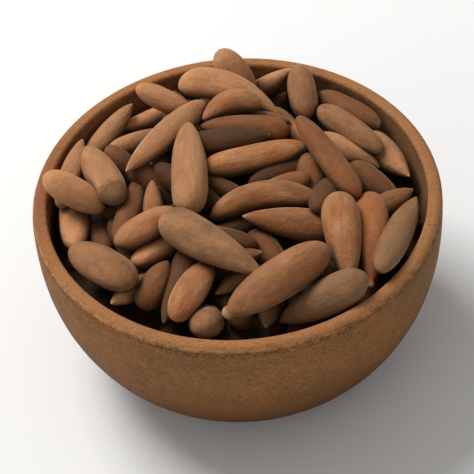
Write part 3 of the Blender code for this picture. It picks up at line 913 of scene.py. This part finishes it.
def nut_corners(nut, rings, sides, draw):
    """Corners of one nut, and marks at each of them: its place on the nut in mm (along, across,
    over), its share of the half length, how near it is to a keel, and its depth in the heap in mm.
    """
    blunt, tip = nut.ends
    middle = (blunt + tip) / 2
    half = (tip - blunt) / 2
    half_length = np.linalg.norm(half)
    across, over, bend = axes_round(half / half_length)
    shares = -np.cos(np.linspace(0, math.pi, rings + 2))[1:-1]
    turns = np.arange(sides) * FULL_TURN / sides
    outline = own_outline(nut, shares, half_length, draw)
    edge_on = math.atan2(bend @ over, bend @ across)
    roll = edge_on + draw.uniform(-KEEL_STRAY, KEEL_STRAY)
    section, keel = nut_section(shares[:, None], turns[None, :] - roll, draw)
    radius = nut.girth / 2 * outline[:, None] * section
    side = radius * np.cos(turns)
    rise = radius * np.sin(turns) * NUT_FLATNESS
    centres = middle + np.outer(shares, half) + np.outer(0.5 - shares ** 2, bend) * nut.bow
    corners = centres[:, None] + side[..., None] * across + rise[..., None] * over
    poles = [middle + half * end - bend * nut.bow / 2 for end in (-1, 1)]
    points = np.vstack((poles[0], corners.reshape(-1, 3), poles[1]))
    own = np.stack((np.broadcast_to(shares[:, None] * half_length, side.shape), side, rise), axis=-1)
    own = np.vstack(((-half_length, 0, 0), own.reshape(-1, 3), (half_length, 0, 0)))
    return points, {
        "nut_place": own * PER_MM,
        "nut_way": np.concatenate(((-1.0,), np.repeat(shares, sides), (1.0,))),
        "nut_keel": np.concatenate(((0.0,), keel.ravel(), (0.0,))),
        "nut_depth": (heap_top(np.hypot(points[:, 0], points[:, 1])) - points[:, 2]) * PER_MM,
    }


def shelter(corners, normals, beads, radii):
    """How far each corner is shut in by the beads of other nuts, from 0 to 1."""
    ways = beads - corners[:, None]
    distance = np.linalg.norm(ways, axis=2) + TINY
    facing = np.maximum((ways * normals[:, None]).sum(axis=2) / distance, 0)
    return 1 - (1 - facing * np.minimum(radii / distance, 1) ** 2).prod(axis=1)


def sheltered(mesh, nuts, heap):
    """How far each corner of the nuts' mesh is shut in by the rest of the heap."""
    count = len(mesh.vertices)
    corners = np.empty(3 * count)
    normals = np.empty(3 * count)
    mesh.vertices.foreach_get("co", corners)
    mesh.vertices.foreach_get("normal", normals)
    corners = corners.reshape(len(nuts), -1, 3) - (0.0, 0.0, BOWL_HEIGHT)
    normals = normals.reshape(len(nuts), -1, 3)
    beads, radii = beads_along(heap)
    shut_in = []
    for nut, own_corners, own_normals in zip(nuts, corners, normals):
        middle = nut.ends.mean(axis=0)
        near = np.linalg.norm(beads - middle, axis=2) < SHELTER_REACH
        near[[other is nut for other in heap]] = False
        shut_in.append(shelter(own_corners, own_normals, beads[near],
                               np.broadcast_to(radii, near.shape)[near]))
    return np.concatenate(shut_in)


def nuts_mesh(name, nuts, heap, rings, sides, draw):
    """All the nuts as one mesh, with the marks at each corner that their finish reads."""
    points = []
    marks = []
    faces = []
    per_nut = rings * sides + 2
    for index, nut in enumerate(nuts):
        corners, own_marks = nut_corners(nut, rings, sides, draw)
        tint = TINTS[nut.tint or draw.choice(BETWEEN_TINTS)]
        own_marks["nut_place"] += draw.uniform(0, PATTERN_SPREAD, 3)
        own_tint = tint[:3] + draw.uniform(-TINT_STRAY, TINT_STRAY, 3)
        own_light = tint.light + draw.uniform(-LIGHT_STRAY, LIGHT_STRAY)
        own_marks["nut_tint"] = np.tile(own_tint, (per_nut, 1))
        own_marks["nut_light"] = np.full(per_nut, own_light)
        own_marks["nut_scar"] = np.full(per_nut, tint.scar)
        points.append(corners + (0.0, 0.0, BOWL_HEIGHT))
        marks.append(own_marks)
        faces += ring_faces(rings, sides, index * per_nut)
    mesh = bpy.data.meshes.new(name)
    mesh.from_pydata(np.vstack(points).tolist(), [], faces)
    mesh.update()
    mark_corners(mesh, "nut_shelter", sheltered(mesh, nuts, heap))
    for label in marks[0]:
        mark_corners(mesh, label, np.concatenate([own_marks[label] for own_marks in marks]))
    mesh.shade_smooth()
    return mesh


Husk = namedtuple("Husk", "threads dusty bare smoke mottles blotches grit")


def husk_patterns(shell):
    """A shell's patterns, most of them drawn out along the nut."""
    place = shell.attribute("nut_place", "Vector")
    return Husk(
        threads=shell.clouds(shell.scaled(place, (0.12, 1.0, 1.0)), 1.5, 4.0, 0.6, 0.2),
        dusty=shell.clouds(shell.scaled(place, (0.45, 1.0, 1.0)), 0.30, 3.0, 0.55, 0.3),
        bare=shell.clouds(shell.scaled(place, (0.40, 1.1, 0.9)), 0.42, 2.0, 0.5, 0.3),
        smoke=shell.clouds(shell.scaled(place, (0.60, 0.9, 1.2)), 0.36, 3.0, 0.55, 0.2),
        mottles=shell.clouds(place, 0.9, 4.0, 0.6),
        blotches=shell.clouds(shell.scaled(place, (0.5, 1.0, 1.0)), 0.55, 4.0, 0.6, 0.4),
        grit=shell.clouds(place, 5.0, 3.0, 0.6))


def ground_colour(shell, nuts, husk):
    """Brown under pale dust, rubbed reddish in places and smoky in others. Also gives the dust."""
    tint = shell.attribute("nut_tint", "Vector")
    dustiness, redness, greyness = (
        shell.node("ShaderNodeSeparateXYZ", {}, {0: tint}, axis) for axis in "XYZ")
    dust = (husk.dusty * 1.1 + dustiness * 0.75 + husk.mottles * 0.25).between(0.62, 1.38)
    colour = shell.mix(dust, nuts.brown_colour, nuts.pale_colour)
    rubbed = (husk.bare * 1.1 + redness * 0.70 + husk.threads * 0.15).between(0.86, 1.32)
    colour = shell.mix(rubbed * 0.8, colour, nuts.red_colour)
    smoked = (husk.smoke * 1.1 + greyness * 0.75 + husk.mottles * 0.15).between(0.90, 1.45)
    return shell.mix(smoked * 0.85, colour, nuts.grey_colour), dust


def with_marks(shell, nuts, husk, colour):
    """A shell's colour with its threads, pale keels, grit, pale tip and dark scar."""
    way = shell.attribute("nut_way")
    threads = husk.threads.between(0.45, 0.75)
    colour = shell.mix(threads * 0.16, colour, shade(nuts.brown_colour, 0.7))
    keel = shell.attribute("nut_keel").between(0.20, 0.90) * husk.mottles.between(0.25, 0.6)
    colour = shell.mix(keel * 0.70, colour, nuts.edge_colour)
    pale_grit = husk.grit.between(0.55, 0.75)
    colour = shell.mix(pale_grit * 0.30, colour, shade(nuts.pale_colour, 1.25))
    dark_grit = (1 - husk.grit).between(0.55, 0.75)
    colour = shell.mix(dark_grit * 0.30, colour, shade(nuts.brown_colour, 0.6))
    tip = (way + husk.mottles * 0.20).between(0.99, 1.10)
    colour = shell.mix(tip * 0.55, colour, nuts.edge_colour)
    scar = (husk.mottles * 0.40 - way).between(0.74, 0.92) * shell.attribute("nut_scar")
    return shell.mix(scar * 0.75, colour, nuts.scar_colour)


def shell_finish(nuts):
    """Dusty nut shells, lighter or darker from nut to nut, with painted shade that turns them nearly
    black deep in the heap and where other nuts shut them in.
    """
    shell = Finish("nut_shell", Specular_IOR_Level=0.14, Sheen_Weight=0.12,
                   Sheen_Roughness=0.5, Sheen_Tint=(0.86, 0.70, 0.54, 1.0))
    husk = husk_patterns(shell)
    colour, dust = ground_colour(shell, nuts, husk)
    colour = with_marks(shell, nuts, husk, colour)
    colour = shell.scaled(colour, shell.attribute("nut_light") * (0.66 + husk.blotches * 0.68))
    # Painted shade: shells darken towards black deeper in the heap.
    deep = (shell.attribute("nut_depth") + husk.mottles * 1.5).between(5.0, 13.0)
    colour = shell.mix(deep * 0.9, colour, nuts.painted_gloom_colour)
    # Painted shade where other nuts shut a shell in.
    shut_in = shell.attribute("nut_shelter").between(0.45, 1.0)
    colour = shell.mix(shut_in * 0.9, colour, nuts.painted_gloom_colour)
    shell.feed_shader(Base_Color=colour, Roughness=0.58 + dust * 0.18)
    shell.bump(husk.threads * 0.8 + husk.grit * 0.5 + husk.mottles * 1.2, SHELL_RELIEF)
    return shell.material


def core_profile(bowl, heap):
    """The heap's bare core: the hollow's side, and a low dome under the nuts."""
    edge_radius = bowl.cavity_radius - heap.core_gap
    edge_share = (heap.core_under - HEAP_EDGE) / bowl.cavity_depth
    points = [(0.0, bowl.height - bowl.cavity_depth + heap.core_gap)]
    for share in reversed(depth_shares(edge_share, heap.core_steps)):
        radius = side_radius(share, bowl.floor_radius, bowl.cavity_radius) - heap.core_gap
        points.append((radius, bowl.height - bowl.cavity_depth * share + heap.core_gap * share))
    for step in reversed(range(heap.core_steps)):
        radius = side_radius(edge_share, bowl.floor_radius, edge_radius) * step / heap.core_steps
        points.append((radius, bowl.height + heap_top(radius) - heap.core_under))
    return points


def core_finish(heap):
    """Near-black painted shade at the bottom of the gaps between the nuts, mottled and bumped."""
    core = Finish("heap_core", Roughness=0.9, Specular_IOR_Level=0.1)
    place = core.node("ShaderNodeTexCoord", {}, {}, "Object")
    core_mottle = core.clouds(place, 700.0, 4.0, 0.6)
    core.feed_shader(Base_Color=core.mix(core_mottle, heap.colour, shade(heap.colour, 2.2)))
    core.bump(core_mottle, CORE_RELIEF)
    return core.material


# Operators

class PINENUTS_OT_turn_bowl(bpy.types.Operator):
    """Turns the wooden bowl"""
    bl_idname = "pine_nuts.turn_bowl"
    bl_label = "Turn bowl"

    def execute(self, context):
        bowl = context.scene.pine_bowl
        mesh = turned_mesh("turned_bowl", bowl_profile(bowl), bowl.turn_steps)
        roughen_bowl(mesh, bowl)
        mesh.materials.append(wood_finish(bowl))
        add_object("turned_bowl", mesh, "bowl")
        return {"FINISHED"}


class PINENUTS_OT_heap_nuts(bpy.types.Operator):
    """Heaps the nuts in the bowl"""
    bl_idname = "pine_nuts.heap_nuts"
    bl_label = "Heap nuts"

    def execute(self, context):
        nuts = context.scene.pine_shells
        draw = np.random.default_rng(nuts.seed)
        shell = shell_finish(nuts)
        on_top, between = settled_nuts()
        between += deep_nuts(on_top + between, nuts)
        for name, group, rings, sides in (
                ("nuts_on_top", on_top, nuts.rings, nuts.sides),
                ("nuts_between", between, nuts.low_rings, nuts.low_sides)):
            mesh = nuts_mesh(name, group, on_top + between, rings, sides, draw)
            mesh.materials.append(shell)
            add_object(name, mesh, "nut_heap")
        return {"FINISHED"}


class PINENUTS_OT_lay_core(bpy.types.Operator):
    """Lays the dark core under the nuts"""
    bl_idname = "pine_nuts.lay_core"
    bl_label = "Lay core"

    def execute(self, context):
        heap = context.scene.pine_heap
        profile = core_profile(context.scene.pine_bowl, heap)
        core = turned_mesh("heap_core", profile, heap.turn_steps)
        core.materials.append(core_finish(heap))
        add_object("heap_core", core, "nut_heap")
        return {"FINISHED"}


class PINENUTS_OT_set_stage(bpy.types.Operator):
    """Lays the pale floor, hangs the soft lights and sets up the camera"""
    bl_idname = "pine_nuts.set_stage"
    bl_label = "Set stage"

    def execute(self, context):
        stage = context.scene.pine_stage
        lay_floor(stage)
        add_lights(stage)
        set_camera(stage)
        return {"FINISHED"}


def lay_floor(stage):
    mesh = bpy.data.meshes.new("floor")
    ring = circle(stage.floor_radius, 0.0, FLOOR_STEPS)
    mesh.from_pydata(ring, [], [tuple(range(len(ring)))])
    floor = bpy.data.objects.new("floor", mesh)
    bpy.context.scene.collection.objects.link(floor)
    paint = Finish("floor", Roughness=0.8, Specular_IOR_Level=0.2)
    paint.feed_shader(Base_Color=stage.floor_colour)
    mesh.materials.append(paint.material)


def add_light(name, place, width, power, tone):
    """A square soft light that looks at the middle of the bowl's mouth."""
    light = bpy.data.lights.new(name, "AREA")
    light.size = width
    light.energy = power
    light.color = tone
    lamp = bpy.data.objects.new(name, light)
    bpy.context.scene.collection.objects.link(lamp)
    lamp.location = place
    aim = Vector((0, 0, BOWL_HEIGHT)) - Vector(place)
    lamp.rotation_euler = aim.to_track_quat("-Z", "Y").to_euler()


def add_lights(stage):
    add_light("key", KEY_PLACE, KEY_WIDTH, stage.key_power, KEY_TONE)
    add_light("fill", FILL_PLACE, FILL_WIDTH, stage.fill_power, FILL_TONE)
    world = bpy.data.worlds.new("surround")
    world.use_nodes = True
    background = world.node_tree.nodes["Background"]
    background.inputs["Color"].default_value = (*SURROUND_TONE, 1.0)
    background.inputs["Strength"].default_value = stage.surround
    bpy.context.scene.world = world


def set_camera(stage):
    """A camera at the reading view's eye, turned to the bowl and closer in."""
    lens = bpy.data.cameras.new("camera")
    lens.sensor_width = SENSOR_WIDTH_MM
    lens.lens = VIEW_FOCAL / VIEW_SIZE * SENSOR_WIDTH_MM * stage.zoom
    lens.clip_start = CLIP_START
    camera = bpy.data.objects.new("camera", lens)
    bpy.context.scene.collection.objects.link(camera)
    turn = Matrix((RIGHTWARD, UPWARD, -FORWARD)).transposed()
    aim = Vector(FORWARD).rotation_difference(Vector(line_of_sight(AIM_PIXEL))).to_matrix()
    place = Vector(EYE) + Vector((0, 0, BOWL_HEIGHT))
    camera.matrix_world = Matrix.Translation(place) @ (aim @ turn).to_4x4()
    bpy.context.scene.camera = camera
    bpy.context.scene.view_settings.view_transform = "Standard"


class PINENUTS_PT_panel(bpy.types.Panel):
    """Lists the pieces and their settings"""
    bl_idname = "PINENUTS_PT_panel"
    bl_label = "Pine Nuts"
    bl_space_type = "VIEW_3D"
    bl_region_type = "UI"
    bl_category = "Pine Nuts"

    def draw(self, context):
        for operator, label, settings in BUTTONS:
            box = self.layout.box()
            for name in settings.__annotations__:
                box.prop(getattr(context.scene, label), name)
            box.operator(operator.bl_idname)


BUTTONS = (
    (PINENUTS_OT_turn_bowl, "pine_bowl", BowlSettings),
    (PINENUTS_OT_heap_nuts, "pine_shells", NutSettings),
    (PINENUTS_OT_lay_core, "pine_heap", HeapSettings),
    (PINENUTS_OT_set_stage, "pine_stage", StageSettings),
)


def register():
    for operator, label, settings in BUTTONS:
        bpy.utils.register_class(settings)
        setattr(bpy.types.Scene, label, PointerProperty(type=settings))
        bpy.utils.register_class(operator)
    bpy.utils.register_class(PINENUTS_PT_panel)


def unregister():
    bpy.utils.unregister_class(PINENUTS_PT_panel)
    for operator, label, settings in reversed(BUTTONS):
        bpy.utils.unregister_class(operator)
        delattr(bpy.types.Scene, label)
        bpy.utils.unregister_class(settings)


def main():
    register()
    bpy.ops.pine_nuts.turn_bowl()
    bpy.ops.pine_nuts.heap_nuts()
    bpy.ops.pine_nuts.lay_core()
    bpy.ops.pine_nuts.set_stage()


if __name__ == "__main__":
    main()
